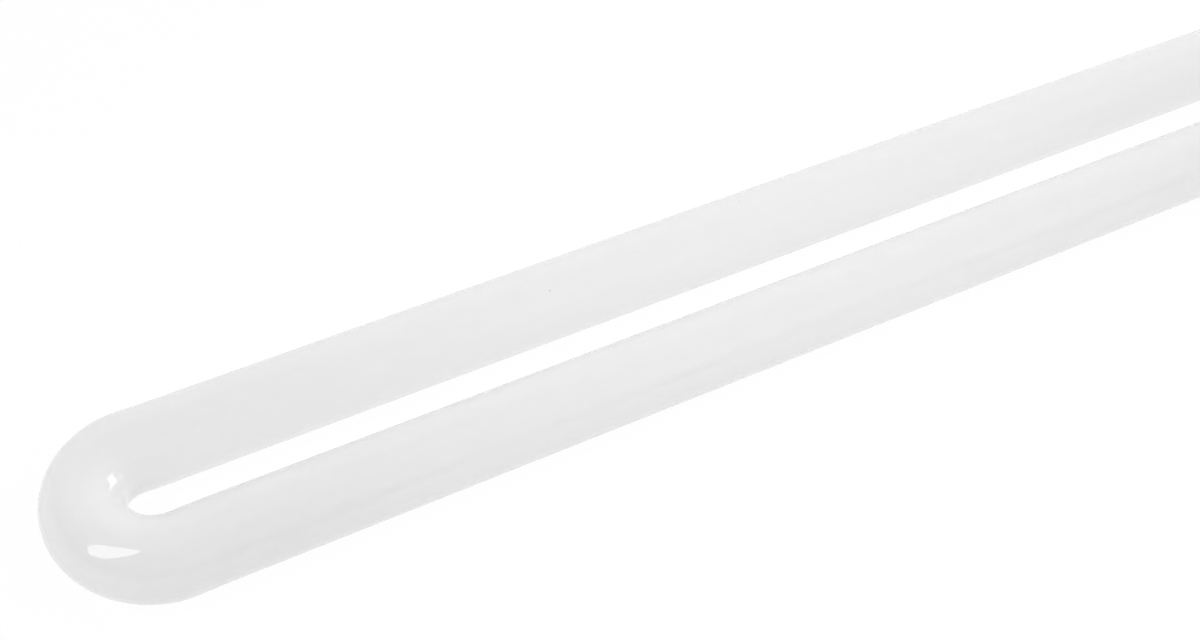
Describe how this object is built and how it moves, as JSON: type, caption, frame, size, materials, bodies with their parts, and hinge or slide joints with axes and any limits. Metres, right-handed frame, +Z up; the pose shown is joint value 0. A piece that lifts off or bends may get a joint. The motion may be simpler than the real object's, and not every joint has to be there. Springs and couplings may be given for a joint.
{
  "type": "u-bend led tube",
  "caption": "Opal glass tube lamp bent into a narrow U, with a bi-pin metal cap on the end of each leg.",
  "frame": {"origin": "centre of the lamp's footprint, on the surface that it lies on", "axes": "+X along the legs, from the bend towards the pins; +Y from the right leg to the left leg; +Z up"},
  "size_m": [0.5786, 0.0686, 0.0274],
  "materials": {
    "opal_glass": "glossy opal white glass",
    "cap_metal": "satin spun aluminium",
    "cement": "matte white cement",
    "disc_plastic": "satin ivory moulding",
    "pin_metal": "nickel-plated brass"
  },
  "bodies": {
    "root": {"opal_tube": "opal_glass", "left_cap_shell": "cap_metal", "right_cap_shell": "cap_metal", "left_cap_cement": "cement", "right_cap_cement": "cement", "left_cap_disc": "disc_plastic", "right_cap_disc": "disc_plastic", "left_upper_pin": "pin_metal", "left_lower_pin": "pin_metal", "right_upper_pin": "pin_metal", "right_lower_pin": "pin_metal"}
  },
  "joints": []
}
